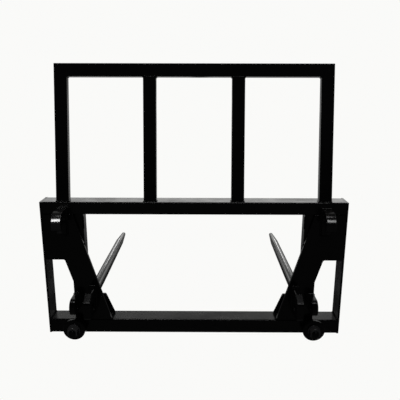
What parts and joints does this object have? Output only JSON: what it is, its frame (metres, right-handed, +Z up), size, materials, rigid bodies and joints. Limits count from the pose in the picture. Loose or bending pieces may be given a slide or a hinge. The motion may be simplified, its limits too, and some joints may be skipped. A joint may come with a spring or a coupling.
{
  "type": "loader bale spear frame",
  "caption": "Welded loader frame with a leaning load guard, quick-hitch hooks and pin lugs behind, and round tapered tines in front for carrying bales.",
  "frame": {"origin": "centre of the lower beam's rear face, midway between the two side plates and level with both tine axes", "axes": "+Y along the tines towards their tips, away from the loader; +Z up; +X to the right for someone standing behind the frame and looking along the tines"},
  "size_m": [1.2214, 1.327, 1.0963],
  "materials": {
    "frame_paint": "gloss black paint",
    "hitch_paint": "gloss black paint",
    "tine_paint": "high-gloss black paint",
    "fastener_paint": "gloss black paint over steel"
  },
  "bodies": {
    "root": {"upper_beam": "frame_paint", "lower_beam": "frame_paint", "side_plate_left": "frame_paint", "side_plate_right": "frame_paint", "guard_top_rail": "frame_paint", "guard_outer_post_left": "frame_paint", "guard_outer_post_right": "frame_paint", "guard_inner_post_1": "frame_paint", "guard_inner_post_2": "frame_paint", "hitch_plate_left": "hitch_paint", "hitch_plate_right": "hitch_paint", "hitch_post_left": "hitch_paint", "hitch_post_right": "hitch_paint", "corner_gusset_left": "hitch_paint", "corner_gusset_right": "hitch_paint", "hook_left": "hitch_paint", "hook_right": "hitch_paint", "outer_lug_left": "hitch_paint", "outer_lug_right": "hitch_paint", "inner_lug_left": "hitch_paint", "inner_lug_right": "hitch_paint", "tine_sleeve_left": "hitch_paint", "tine_sleeve_right": "hitch_paint", "tine_left": "tine_paint", "tine_right": "tine_paint", "tine_washer_left": "fastener_paint", "tine_washer_right": "fastener_paint", "tine_nut_left": "fastener_paint", "tine_nut_right": "fastener_paint", "side_bolt_left": "fastener_paint", "side_bolt_right": "fastener_paint", "side_washer_left": "fastener_paint", "side_washer_right": "fastener_paint", "side_nut_left": "fastener_paint", "side_nut_right": "fastener_paint"}
  },
  "joints": []
}
